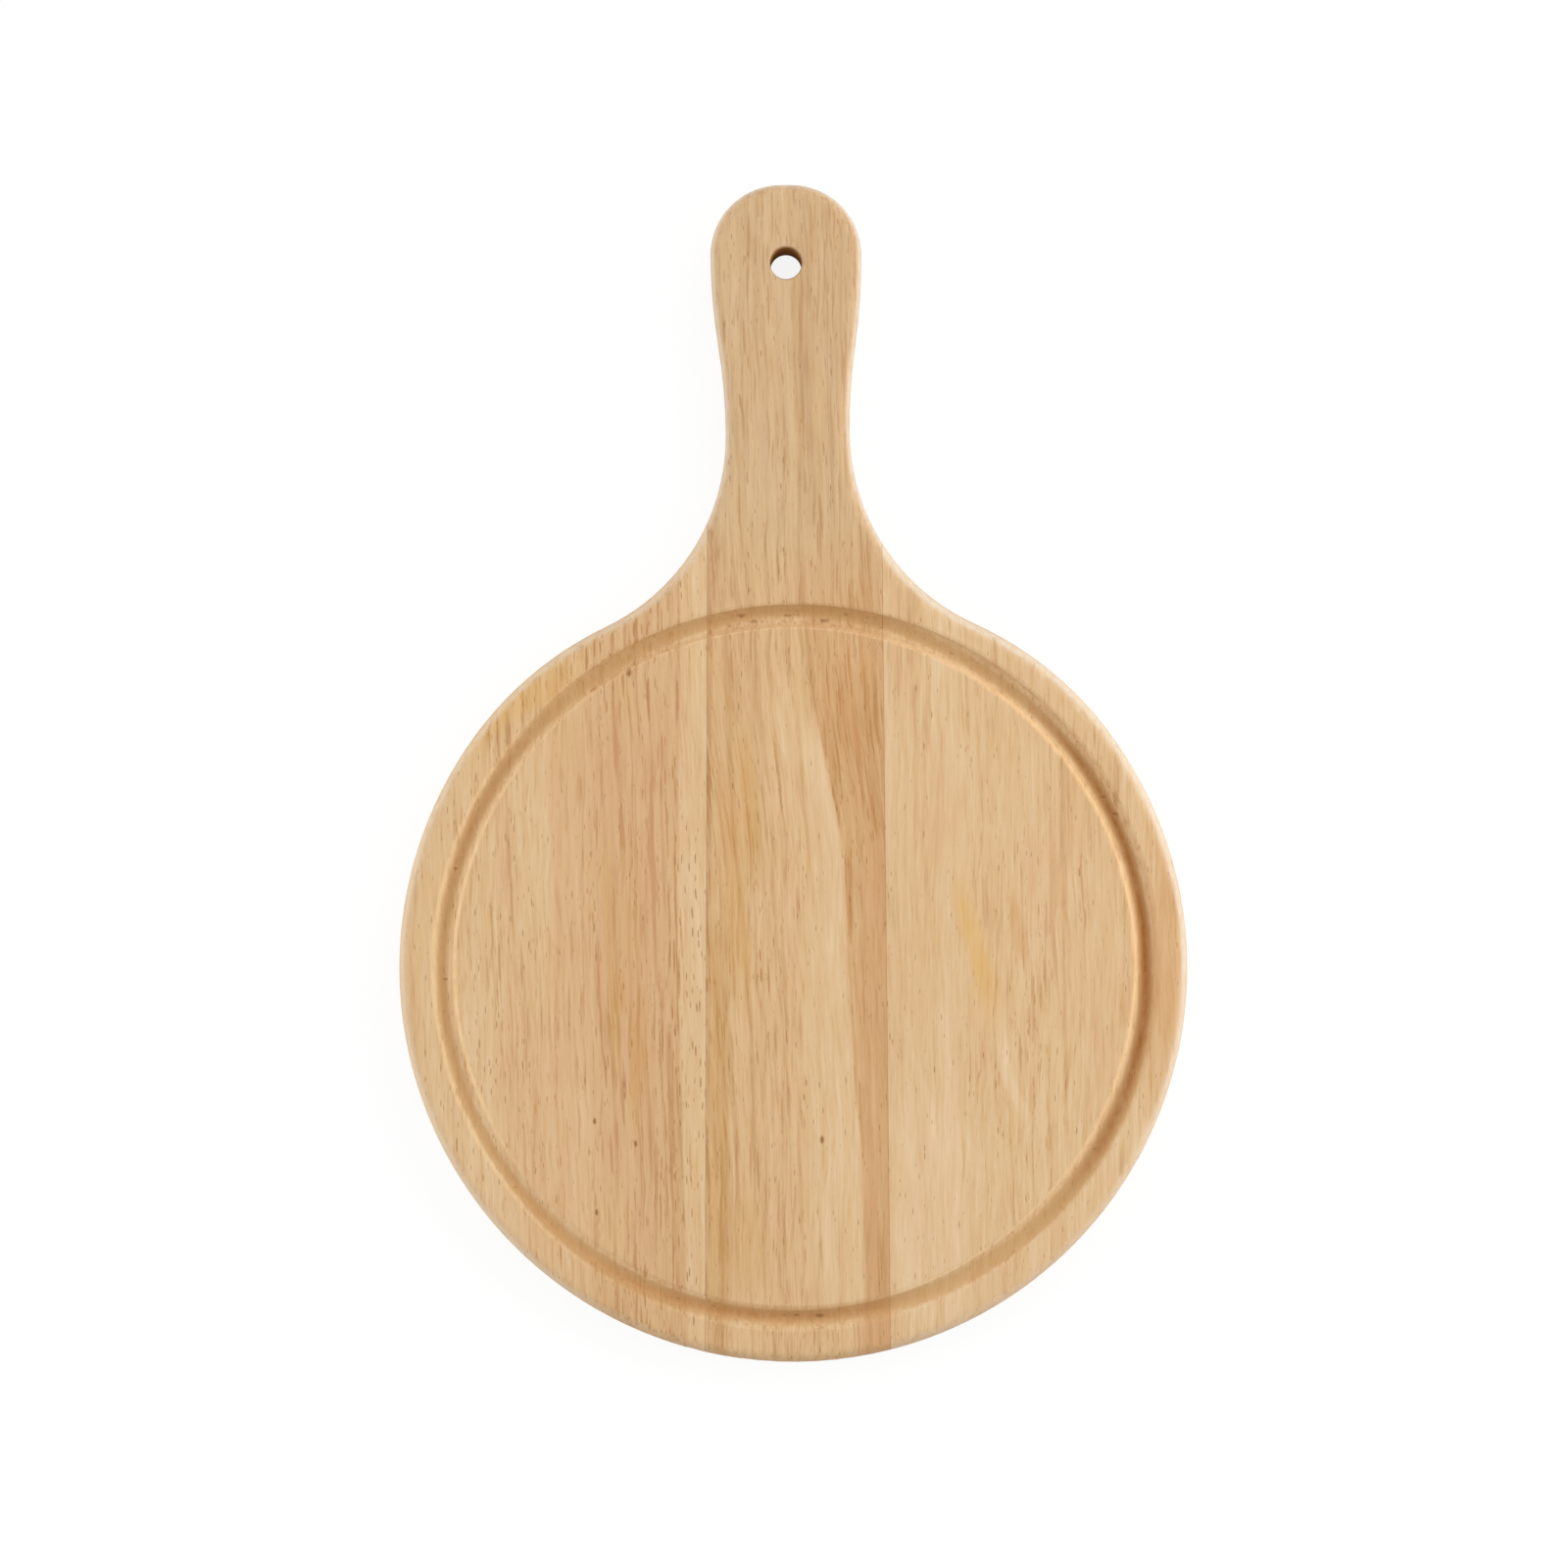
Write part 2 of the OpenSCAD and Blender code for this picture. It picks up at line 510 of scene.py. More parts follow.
@dataclass(frozen=True)
class Groove:
    """The place of the juice groove, and the finish that the router leaves in it, with painted shade towards
    its deepest line and painted highlights on its lips.

    Above says from which height the wood counts as the groove's side of the board, and soft how soft the
    edges of its ring and lips are. The marks are the fine noise that frays its finish.
    """

    middle: Point = (0.61, 0.51)
    ring_radius: float = 133.2
    half_width: float = 6.2
    soft: float = 0.5
    above: Ramp = Ramp(9.0, 10.5)
    # The browning and burn in these cuts are partly painted shade, and their lip values painted highlights
    cuts: tuple[Cut, ...] = (
        Cut(0.0, 0.8, -0.3, 3.4, 0.1, 0.5),
        Cut(35.0, 0.6, 0.3, 2.9, 0.35, 0.4),
        Cut(56.0, 0.1, 0.0, 2.8, 0.1, 0.45),
        Cut(78.0, 0.2, 1.8, 3.4, 0.5, 0.35),
        Cut(90.0, 0.25, 2.0, 3.3, 1.0, 0.3),
        Cut(105.0, 0.2, 1.4, 3.5, 0.4, 0.2),
        Cut(125.0, 0.12, 0.7, 3.8, 0.2, 0.2),
        Cut(150.0, 0.36, 0.4, 3.5, 0.3, 0.5, 0.4),
        Cut(180.0, 0.3, 0.6, 2.8, 0.3, 1.0, 0.6),
        Cut(210.0, 0.25, 1.0, 2.7, 0.0, 0.6, 0.4),
        Cut(240.0, 0.32, 1.0, 4.2, 0.5, 0.0),
        Cut(270.0, 0.5, -0.9, 4.4, 0.7, 0.0),
        Cut(300.0, 0.08, 0.5, 3.8, 0.2, 0.35),
        Cut(330.0, 0.5, 1.1, 4.2, 0.2, 0.45),
        Cut(360.0, 0.8, -0.3, 3.4, 0.1, 0.5),
    )
    furthest: float = 5.0
    marks: Texture = Texture(2.2, 5.0, 3.0)
    frayed: float = 0.5
    # Browning and burn: partly router burn, partly painted shade towards the deepest line
    browned_and_shaded: Ramp = Ramp(0.0, 0.5, 0.0, 0.6)
    brown_and_shade: Colour = from_screen(200, 157, 102)
    burnt_and_shaded: Ramp = Ramp(0.0, 1.0)
    uneven: Ramp = Ramp(-1.5, 1.5, 0.6, 1.4)
    burnish_and_shade: Colour = from_screen(204, 150, 84)
    chips: Chips = Chips()
    # Painted highlights on the lips: where they lie, how wide, how uneven and their colour
    lips: tuple[tuple[Mark, float], ...] = ((Mark.INNER_LIP, -4.1), (Mark.OUTER_LIP, 3.9))
    lip_half: float = 0.7
    highlight_uneven: Ramp = Ramp(-1.2, 1.2, 0.5, 1.3)
    lip: Colour = from_screen(244, 206, 156)

    def shares(self, mark: Mark) -> list[Point]:
        """Lists one of the router's marks round the plate, for a curve that runs from 0 to 1 both ways.

        Args:
            mark: The mark.

        Returns:
            The bearings as shares of a turn, each with its value; lengths from -furthest to furthest.
        """
        values = [getattr(cut, mark.value) for cut in self.cuts]
        if mark in (Mark.LEAN, Mark.REACH):
            values = [(value + self.furthest) / (2 * self.furthest) for value in values]
        return [(cut.bearing / 360, value) for cut, value in zip(self.cuts, values)]


@dataclass(frozen=True)
class Rim:
    """The rounded edge: a painted highlight where it would catch the light, and end grain at its far ends.

    Rounded and shown say how the painted highlight comes and goes with the surface's tilt, and the ramp along
    the board how it fades towards the board's low end, where less light falls. Its flecks make that uneven,
    and are dark themselves wherever the surface is turned away from the flat face.
    """

    end_grain: Ramp = Ramp(0.3, 1.0, 0.0, 0.3)
    rounded: Ramp = Ramp(-0.02, 0.24)
    shown: Ramp = Ramp(0.35, 0.75, 1.0, 0.2)
    lit_along: Ramp = Ramp(-135.0, -85.0, 0.25, 1.0)
    flecks: Texture = Texture(1.7, 5.0, 2.0)
    uneven: Ramp = Ramp(-1.3, 0.7, 1.15, 0.7)
    flecked: Ramp = Ramp(0.5, 1.3, 0.0, 0.45)
    turned: Ramp = Ramp(0.0, 0.05)
    # Painted highlight on the rounded edge: its share and its colour
    highlight_share: float = 0.75
    pale: Colour = from_screen(227, 209, 182)


@dataclass(frozen=True)
class Hole:
    """The drilled hanging hole, whose wall is darkened with painted shade."""

    along: float = 267.4
    wall: Ramp = Ramp(6.1, 6.6, 1.0, 0.0)
    wall_shade: Colour = from_screen(208, 180, 136)


@dataclass(frozen=True)
class Sanded:
    """The matt surface of sanded and oiled wood, with the pores pressed in and the fibres just felt."""

    roughness: float = 0.58
    fibre_roughness: float = 0.05
    drilled_roughness: float = 0.4
    ior: float = 1.45
    specular: float = 0.12
    relief: Relief = Relief(0.5, 0.12)
    fibre_height: float = 0.3
    pore_height: float = -0.4


@dataclass(frozen=True)
class Rubberwood:
    """The finish of one stave: solid rubberwood, sanded and lightly oiled."""

    name: str
    slot: str
    rings: Rings
    flow: tuple[Point, ...]
    flow_share: float = 1.0
    streaks: tuple[Streak, ...] = ()
    specks: tuple[Speck, ...] = ()
    rim: Rim = Rim()
    hole: Optional[Hole] = None
    shift: float = 0.0
    lined: float = 1.0
    lean: float = 0.0
    seed: float = 0.0
    tones: Tones = Tones()
    patches: Patches = Patches()
    pores: Pores = Pores()
    groove: Groove = Groove()
    surface: Sanded = Sanded()
    sways: tuple[Sway, ...] = (
        Sway(40.0, 120.0, 1.0, reach=1.4),
        Sway(9.0, 26.0, 1.0, reach=0.45),
        Sway(3.0, 9.0, 1.0, reach=0.14),
    )
    fibres: tuple[Fibres, ...] = (
        Fibres(14.0, 380.0, 1.0, strength=0.14),
        Fibres(4.5, 110.0, 2.0, strength=0.15),
        Fibres(1.9, 45.0, 2.0, strength=0.26),
        Fibres(0.8, 14.0, 3.0, strength=0.34),
    )
    lines: tuple[Lines, ...] = (
        Lines(1.8, 110.0, 3.0, shown=Ramp(0.3, 0.5, 0.0, 0.22)),
        Lines(1.9, 40.0, 3.0, shown=Ramp(0.36, 0.56, 0.0, 0.28)),
        Lines(1.0, 9.0, 3.0, shown=Ramp(0.5, 0.64, 0.0, 0.3)),
    )
    dashes: tuple[Dashes, ...] = (
        Dashes(1.5, 26.0, smallest=-0.1, largest=0.42),
        Dashes(1.0, 9.0, smallest=-0.15, largest=0.38),
    )

    def material(self) -> bpy.types.Material:
        """Builds the whole material.

        Returns:
            The material, ready to be put on the stave.
        """
        material = bpy.data.materials.new(self.name)
        WoodSheet(material, self).fill()
        return material


class WoodSheet(Sheet):
    """The node sheet of a stave's wood, which reads the figure where a point lies in the wood.

    Across, along and height are the point's place on the board, and fibre is its place across the fibres.
    Off is how far outside the groove's middle line it lies, and ring is 1 in the ring that holds the groove.
    Colour is the wood's colour as far as it has been built up.
    """

    def __init__(self, material: bpy.types.Material, wood: Rubberwood) -> None:
        """Empties the sheet, and works out the places, the layers of fibres and where each streak lies.

        Args:
            material: The stave's material.
            wood: The wood that it shows.
        """
        super().__init__(material)
        self.wood = wood
        self.colour: Shown = wood.tones.plain
        self.across, self.along, self.height = self.parts(self.place(1 / MM))
        self.fibre = self._bent()
        groove = wood.groove
        self.off = self.sum(Op.SUBTRACT, self._away(*groove.middle), groove.ring_radius)
        near = self.near(self.off, groove.half_width, groove.soft)
        self.ring = self.product(near, self.step(self.height, groove.above))
        self.layers = [self._read(layer) for layer in wood.fibres]
        self.masks = [self._mask(streak) for streak in wood.streaks]

    def _away(self, across: float, along: float, flatness: float = 1.0) -> Socket:
        """Measures how far a place lies away, seen from above, with what lies up the board flattened."""
        side, away = self.sum(Op.SUBTRACT, self.across, across), self.sum(Op.SUBTRACT, self.along, along)
        return self.distance(side, self.product(away, flatness))

    def fill(self) -> None:
        """Builds the wood's colour, layer over layer, and ends the sheet with its surface."""
        wood = self.wood
        pores, drilled = self._pored(), self._drilled()
        self._colour_by_tone(self._tone())
        self._tint()
        self._cover(self.product(pores, wood.pores.share), wood.tones.pore)
        self._speck()
        # End grain, and the painted highlight on the rounded edge
        self._rim_end_grain_and_highlight()
        # The groove: router burn and chips, painted shade towards its deepest line and painted highlights on
        # its lips
        self._colour_groove_with_shade_and_highlights()
        # Painted shade darkens the hanging hole's wall
        if wood.hole is not None:
            self._cover(drilled, wood.hole.wall_shade, Blend.MULTIPLY)
        self._surface(pores, drilled)

    def _cover(self, share: Source, over: Colour, how: Blend = Blend.OVER) -> None:
        """Lays a share of one more colour over the wood's colour."""
        self.colour = self.lay(share, self.colour, over, how)

    def _bent(self) -> Source:
        """Moves the place across the board with the wood's flow, so that all figure follows it.

        Returns:
            The place across the fibres.
        """
        wood = self.wood
        flow = self.product(self.course(self.along, wood.flow), wood.flow_share)
        terms = [self.sum(Op.SUBTRACT, self.across, flow), self.product(self.along, wood.lean)]
        terms += [self.product(self._read(sway, bent=False), sway.reach) for sway in wood.sways]
        return self.total(*terms)

    def _read(self, texture: Texture, bent: bool = True) -> Socket:
        """Reads a noise whose grains are stretched along the board.

        Args:
            texture: The noise.
            bent: Whether its grains follow the fibres or run straight.

        Returns:
            A number round zero, mostly from -1 to 1.
        """
        across = self.fibre if bent else self.across
        side = self.sum(Op.MULTIPLY_ADD, across, 1 / texture.width, self.wood.seed)
        along = self.product(self.along, 1 / texture.length)
        height = self.product(self.height, 1 / texture.width)
        return self.noise(self.vector(side, along, height), texture.detail)

    def _mask(self, streak: Streak) -> Source:
        """Shows where a streak lies, with ragged sides where fibres of the last layer but one end.

        Args:
            streak: The streak.

        Returns:
            1 inside the streak and 0 outside.
        """
        off = self.sum(Op.SUBTRACT, self.across, self.course(self.along, streak.points))
        frayed = self.product(self.layers[-2], streak.ragged * streak.soft)
        wide = self.near(self.total(off, frayed), streak.half_width, streak.soft)
        if streak.low > COURSE_LOW or streak.high < COURSE_LOW + COURSE_RUN:
            return self.product(wide, self.window(self.along, streak.low, streak.high, streak.fade))
        return wide

    def _tone(self) -> Source:
        """Adds up the wood's lightness from its fibres, lines, rings and streaks.

        Returns:
            The tone, above zero where the wood is darker.
        """
        wood = self.wood
        marked = [wood.lined]
        terms = [wood.shift, self._ring_tone()]
        terms += [self.product(value, layer.strength) for value, layer in zip(self.layers, wood.fibres)]
        for streak, mask in zip(wood.streaks, self.masks):
            if streak.tone:
                terms.append(self.product(mask, streak.tone))
            if streak.lined:
                marked.append(self.product(mask, streak.lined))
        share = self.total(*marked)
        terms += [self.product(self.step(self._read(lines), lines.shown), share) for lines in wood.lines]
        terms += [self.product(self._dashed(dashes), share) for dashes in wood.dashes]
        return self.total(*terms)

    def _dashed(self, dashes: Dashes) -> Source:
        """Scatters one kind of dash, each with a size and a strength of its own.

        Args:
            dashes: The kind of dash.

        Returns:
            The tone that the dashes add.
        """
        place = self.vector(
            self.sum(Op.MULTIPLY_ADD, self.fibre, 1 / dashes.across, self.wood.seed),
            self.product(self.along, 1 / dashes.along),
            self.product(self.height, 1 / dashes.across),
        )
        distance, chance = self.cells(place)
        size = self.sum(Op.MULTIPLY_ADD, chance, dashes.largest - dashes.smallest, dashes.smallest)
        inside = self.step(self.sum(Op.SUBTRACT, distance, size), dashes.edge)
        dimmed = self.sum(Op.MULTIPLY_ADD, chance, 1 - dashes.faintest, dashes.faintest)
        return self.product(inside, dimmed, dashes.strength)

    def _ring_tone(self) -> Socket:
        """Darkens each growth ring towards its outer side, where its late wood is.

        Returns:
            The tone that the rings add.
        """
        rings = self.wood.rings
        heart_side = self.sum(Op.MULTIPLY_ADD, self.along, -rings.lean_x, -rings.heart_x)
        heart_deep = self.sum(Op.MULTIPLY_ADD, self.along, -rings.lean_z, -rings.heart_z)
        side, deep = self.total(self.fibre, heart_side), self.total(self.height, heart_deep)
        radius = self.total(self.distance(side, deep), self.product(self._read(rings.sway), rings.wander))
        share = self.sum(Op.FRACT, self.product(radius, 1 / rings.spacing))
        dark = self.product(self.step(share, rings.late), self.step(share, rings.end))
        return self.sum(Op.MULTIPLY_ADD, dark, rings.strength, -rings.level * rings.strength)

    def _colour_by_tone(self, tone: Source) -> None:
        """Darkens the plain colour by a tone above zero, and pales it by one below."""
        self._cover(self.sum(Op.MAXIMUM, tone, 0.0), self.wood.tones.dark)
        self._cover(self.sum(Op.MAXIMUM, self.product(tone, -1.0), 0.0), self.wood.tones.pale)

    def _tint(self) -> None:
        """Varies the hue in broad patches, and lays on the streaks that have a colour of their own."""
        tones, patches = self.wood.tones, self.wood.patches
        broad = self._read(patches.broad)
        self._cover(self.step(broad, patches.rosy), tones.rosy)
        self._cover(self.step(broad, patches.golden), tones.golden)
        uneven = self.step(self._read(patches.fine), patches.uneven)
        for streak, mask in zip(self.wood.streaks, self.masks):
            if streak.tint is not None:
                stain, share = streak.tint
                self._cover(self.product(mask, uneven, share), stain)

    def _pored(self) -> Socket:
        """Scatters the open pores, thin dark dashes along the fibres that lie closer in some bands.

        Returns:
            1 in a pore and 0 beside it.
        """
        pores = self.wood.pores
        place = self.vector(
            self.product(self.fibre, 1 / pores.across),
            self.sum(Op.MULTIPLY_ADD, self.along, 1 / pores.along, self.wood.seed),
            self.product(self.height, 1 / pores.across),
        )
        distance, chance = self.cells(place)
        bands = self.product(self._read(pores.bands), pores.bands.strength)
        pored = [(streak, mask) for streak, mask in zip(self.wood.streaks, self.masks) if streak.pored]
        more = [self.product(mask, streak.pored) for streak, mask in pored]
        size = self.total(self.sum(Op.MULTIPLY_ADD, chance, pores.spread, pores.smallest), bands, *more)
        return self.step(self.sum(Op.SUBTRACT, distance, size), pores.edge)

    def _speck(self) -> None:
        """Lays on the few dark flecks."""
        for speck in self.wood.specks:
            away = self._away(speck.across, speck.along, speck.flatness)
            fade = Ramp(speck.core * speck.radius, speck.radius, speck.share, 0.0)
            self._cover(self.step(away, fade), self.wood.tones.pore)

    def _rim_end_grain_and_highlight(self) -> None:
        """Darkens the rim where it cuts across the fibres, and paints a highlight where it is rounded off."""
        rim, dark = self.wood.rim, self.wood.tones.dark
        _, end, up = self.parts(self.add("TexCoord").outputs["Normal"])
        self._cover(self.step(self.sum(Op.ABSOLUTE, end), rim.end_grain), dark)
        tilt = self.sum(Op.SUBTRACT, 1.0, self.sum(Op.ABSOLUTE, up))
        outside = self.sum(Op.SUBTRACT, 1.0, self.ring)
        # Painted highlight on the rounded edge, fading towards the board's low end, where less light falls
        rounded = self.product(self.step(tilt, rim.rounded), self.step(tilt, rim.shown), outside)
        lit_along = self.step(self.along, rim.lit_along)
        flecks = self._read(rim.flecks, bent=False)
        self._cover(self.product(rounded, lit_along, self.step(flecks, rim.uneven), rim.highlight_share), rim.pale)
        self._cover(self.product(self.step(flecks, rim.flecked), self.step(tilt, rim.turned), outside), dark)

    def _colour_groove_with_shade_and_highlights(self) -> None:
        """Browns the groove towards its deepest line, as it is at each bearing, partly as router burn and
        partly as painted shade, and lays painted highlights on its lips.
        """
        groove = self.wood.groove
        marks = self._read(groove.marks, bent=False)
        angle = self.sum(Op.ARCTAN2, self.along, self.across)
        bearing = self.sum(Op.FRACT, self.sum(Op.MULTIPLY_ADD, angle, 1 / math.tau, 1.0))
        there = {mark: self.curve(bearing, groove.shares(mark)) for mark in Mark}
        lean, reach = (
            self.sum(Op.MULTIPLY_ADD, there[mark], 2 * groove.furthest, -groove.furthest)
            for mark in (Mark.LEAN, Mark.REACH)
        )
        side = self.sum(Op.ABSOLUTE, self.sum(Op.SUBTRACT, self.off, lean))
        away = self.sum(Op.MULTIPLY_ADD, marks, groove.frayed, side)
        depth = self.sum(Op.SUBTRACT, 1.0, self.sum(Op.DIVIDE, away, reach))
        # Browning and burn towards the deepest line: partly router burn, partly painted shade
        brown_and_shade = self.product(self.ring, self.step(depth, groove.browned_and_shaded))
        uneven = self.step(marks, groove.uneven)
        burn = self.product(self.ring, self.step(depth, groove.burnt_and_shaded), there[Mark.BURN], uneven)
        highlight_uneven = self.step(marks, groove.highlight_uneven)
        self._cover(brown_and_shade, groove.brown_and_shade)
        self._cover(burn, groove.burnish_and_shade, Blend.MULTIPLY)
        self._cover(self._torn(there[Mark.TORN], marks), groove.chips.colour)
        # Painted highlights on the inner and outer lips
        for mark, place in groove.lips:
            lip = self.window(self.off, place - groove.lip_half, place + groove.lip_half, groove.soft)
            self._cover(self.product(self.ring, lip, there[mark], highlight_uneven), groove.lip)

    def _torn(self, torn: Socket, marks: Socket) -> Source:
        """Scatters the small dark chips that the router tore out of the groove.

        Args:
            torn: How many there are.
            marks: The noise that makes the chips ragged.

        Returns:
            How dark a chip is, and 0 beside it.
        """
        chips = self.wood.groove.chips
        across = self.product(self.across, 1 / chips.across)
        along = self.product(self.along, 1 / chips.along)
        distance, chance = self.cells(self.vector(across, along, 0.0))
        ragged = self.sum(Op.MULTIPLY_ADD, marks, chips.ragged, distance)
        least = self.sum(Op.MULTIPLY_ADD, torn, chips.torn, chips.smallest)
        size = self.sum(Op.MULTIPLY_ADD, chance, chips.spread, least)
        inside = self.step(self.sum(Op.SUBTRACT, ragged, size), chips.edge)
        return self.product(inside, self.window(self.off, chips.inner, chips.outer, chips.soft))

    def _drilled(self) -> Source:
        """Is 1 on the wall of the hanging hole, and 0 elsewhere."""
        hole = self.wood.hole
        return 0.0 if hole is None else self.step(self._away(0.0, hole.along), hole.wall)

    def _surface(self, pores: Socket, drilled: Source) -> None:
        """Ends the sheet with the sanded surface.

        Args:
            pores: 1 in a pore.
            drilled: 1 on the hole's wall.
        """
        surface, fine = self.wood.surface, self.layers[-1]
        rough = self.sum(Op.MULTIPLY_ADD, fine, surface.fibre_roughness, surface.roughness)
        rough = self.total(rough, self.product(drilled, surface.drilled_roughness))
        felt, pressed = self.product(fine, surface.fibre_height), self.product(pores, surface.pore_height)
        shader = self.shade(self.colour, rough, self.total(felt, pressed), surface.relief)
        self.feed(shader.inputs["IOR"], surface.ior)
        self.feed(shader.inputs["Specular IOR Level"], surface.specular)


@dataclass(frozen=True)
class Glue:
    """The finish of a glue line: hardened adhesive, sanded flush with the wood."""

    name: str = "hardened_glue"
    slot: str = "glue"
    patch: float = 7.0
    detail: float = 3.0
    clear: Colour = from_screen(190, 143, 96)
    dark: Colour = from_screen(152, 106, 64)
    darkened: Ramp = Ramp(-0.8, 0.8)
    roughness: Ramp = Ramp(-1.0, 1.0, 0.35, 0.55)
    relief: Relief = Relief(0.3, 0.05)

    def material(self) -> bpy.types.Material:
        """Builds the whole material.

        Returns:
            The material, ready to be put on a glue line.
        """
        material = bpy.data.materials.new(self.name)
        sheet = Sheet(material)
        patches = sheet.noise(sheet.place(1 / (self.patch * MM)), self.detail)
        colour = sheet.lay(sheet.step(patches, self.darkened), self.clear, self.dark)
        sheet.shade(colour, sheet.step(patches, self.roughness), patches, self.relief)
        return material


# Where the middle stave turns from pale to darker wood, and where the pale strip beside the left seam begins
NATURAL_EDGE = (
    (-120.0, 26.1), (-93.0, 25.6), (-61.0, 24.5), (-29.0, 22.2), (10.0, 20.4), (44.0, 19.2), (74.0, 13.9),
    (101.0, 8.6), (130.0, 5.6), (145.0, 3.9), (200.0, 3.3), (247.0, 2.3), (294.0, 2.1),
)
STRIP_EDGE = ((-130.0, -42.4), (-88.0, -42.6), (-39.0, -43.2), (14.0, -44.1), (52.0, -43.4), (126.0, -41.8))

# The colour of the painted highlight on the rounded edge of the handle and right staves
RIM_HIGHLIGHT = from_screen(228, 217, 199)


def beside(line: Sequence[Point], offset: float) -> tuple[Point, ...]:
    """Makes a line that runs so far to the right of another one."""
    return tuple((y, x + offset) for y, x in line)


def straight(across: float, slope: float = 0.0) -> tuple[Point, ...]:
    """Makes a line up the board, sloped to the right, from its place level with the plate's middle."""
    low, high = COURSE_LOW, COURSE_LOW + COURSE_RUN
    return (low, across + slope * low), (high, across + slope * high)


def stripe(across: float, half_width: float, low: float, high: float, **looks: Union[float, Tint]) -> Streak:
    """Makes a streak that runs straight up the board from low to high."""
    return Streak(straight(across), half_width, low=low, high=high, **looks)


def left_wood() -> Rubberwood:
    """Picks the left stave's wood: rosy and finely lined near the seam, paler outside.

    Returns:
        The wood.
    """
    honey, orange = from_screen(208, 166, 98), from_screen(224, 176, 106)
    rosy, straw = from_screen(206, 156, 112), from_screen(224, 194, 140)
    blush, rust = from_screen(217, 171, 128), from_screen(208, 154, 96)
    streaks = (
        Streak(beside(STRIP_EDGE, 20.0), 20.0, tone=-0.36, lined=-0.6, soft=0.5),
        Streak(STRIP_EDGE, 0.5, tone=0.3, soft=0.5),
        Streak(straight(-60.0), 19.0, tone=0.07, lined=1.3, soft=6.0),
        Streak(straight(-61.0), 18.0, tint=(rosy, 0.25), soft=8.0),
        Streak(((-60.0, -66.4), (45.0, -70.3)), 2.2, tint=(honey, 0.5), low=-35.0, high=45.0),
        stripe(-66.5, 2.0, -80.0, -35.0, tone=-0.18),
        stripe(-61.0, 2.0, -60.0, -20.0, tint=(honey, 0.5)),
        stripe(-97.5, 5.5, 15.0, 85.0, tone=-0.2, lined=-0.4, soft=2.0),
        Streak(((-20.0, -70.0), (90.0, -69.0)), 22.0, tint=(blush, 0.35), low=-15.0, high=95.0, soft=2.0),
        Streak(((61.0, -53.4), (-9.0, -51.6)), 0.8, tone=0.55, low=-9.0, high=61.0, fade=6.0, soft=0.7),
        stripe(-65.3, 2.0, -15.0, -2.0, tint=(rust, 0.5), fade=4.0, soft=1.5),
        Streak(straight(-143.0), 14.0, tone=-0.08, lined=-0.7, pored=0.06, soft=5.0),
        stripe(-80.0, 28.0, -115.0, -20.0, tint=(blush, 0.25), soft=10.0),
        stripe(-78.0, 15.0, -118.0, -42.0, tone=-0.16, soft=4.0),
        stripe(-48.9, 4.0, 66.0, 112.0, tone=0.17, soft=1.5),
        stripe(-66.4, 0.9, 70.0, 110.0, tone=0.3, soft=0.8),
        stripe(-58.5, 1.2, 66.0, 92.0, tone=0.25, fade=8.0, soft=0.9),
        stripe(-58.5, 3.0, -46.0, -12.0, tone=0.08, tint=(rust, 0.4), soft=1.5),
        stripe(-61.5, 0.9, -38.0, 4.0, tone=0.3, soft=0.8),
        stripe(-79.0, 0.8, 4.0, 17.0, tone=0.3, fade=4.0, soft=0.7),
        stripe(-73.6, 0.8, -4.0, 9.0, tone=0.3, fade=4.0, soft=0.7),
        stripe(-61.5, 4.5, -5.0, 50.0, tone=0.1, tint=(honey, 0.15)),
        stripe(-91.6, 0.8, 103.0, 110.0, tone=0.4, fade=2.0, soft=0.6),
        stripe(-86.0, 0.8, 109.0, 116.0, tone=0.4, fade=2.0, soft=0.6),
        stripe(-78.8, 0.8, 117.0, 124.0, tone=0.4, fade=2.0, soft=0.6),
        stripe(-89.5, 3.0, 44.0, 70.0, tone=0.12, lined=0.5, soft=2.0),
        stripe(-70.0, 6.0, -112.0, -84.0, tint=(straw, 0.4), soft=3.0),
        Streak(((-90.0, -112.0), (-45.0, -134.0)), 9.0, tone=-0.16, low=-95.0, high=-40.0, soft=4.0),
        Streak(straight(-113.0), 18.0, tone=-0.1, pored=0.06, soft=10.0),
        stripe(-38.0, 6.0, -140.0, 56.0, pored=0.12, soft=1.0),
        Streak(((80.0, -128.0), (118.0, -86.0)), 9.0, tint=(orange, 0.5), low=84.0, high=114.0, soft=4.0),
        Streak(((80.0, -120.0), (125.0, -80.0)), 9.0, tone=0.08, lined=0.9, low=88.0, high=124.0, soft=4.0),
    )
    return Rubberwood(
        name="left_rubberwood",
        slot="left_wood",
        seed=11.3,
        rings=Rings(heart_x=-330.0, heart_z=-60.0, lean_x=-0.02, spacing=7.0, strength=0.14, wander=4.0),
        flow=straight(0.0),
        lean=0.012,
        # The rim's painted highlight, as it falls on this stave
        rim=Rim(lit_along=Ramp(-150.0, -100.0, 0.25, 1.0)),
        streaks=streaks,
        specks=(Speck(-75.9, -57.0), Speck(-60.4, -65.7), Speck(-75.5, -91.5), Speck(-61.1, 113.0, 1.3)),
    )


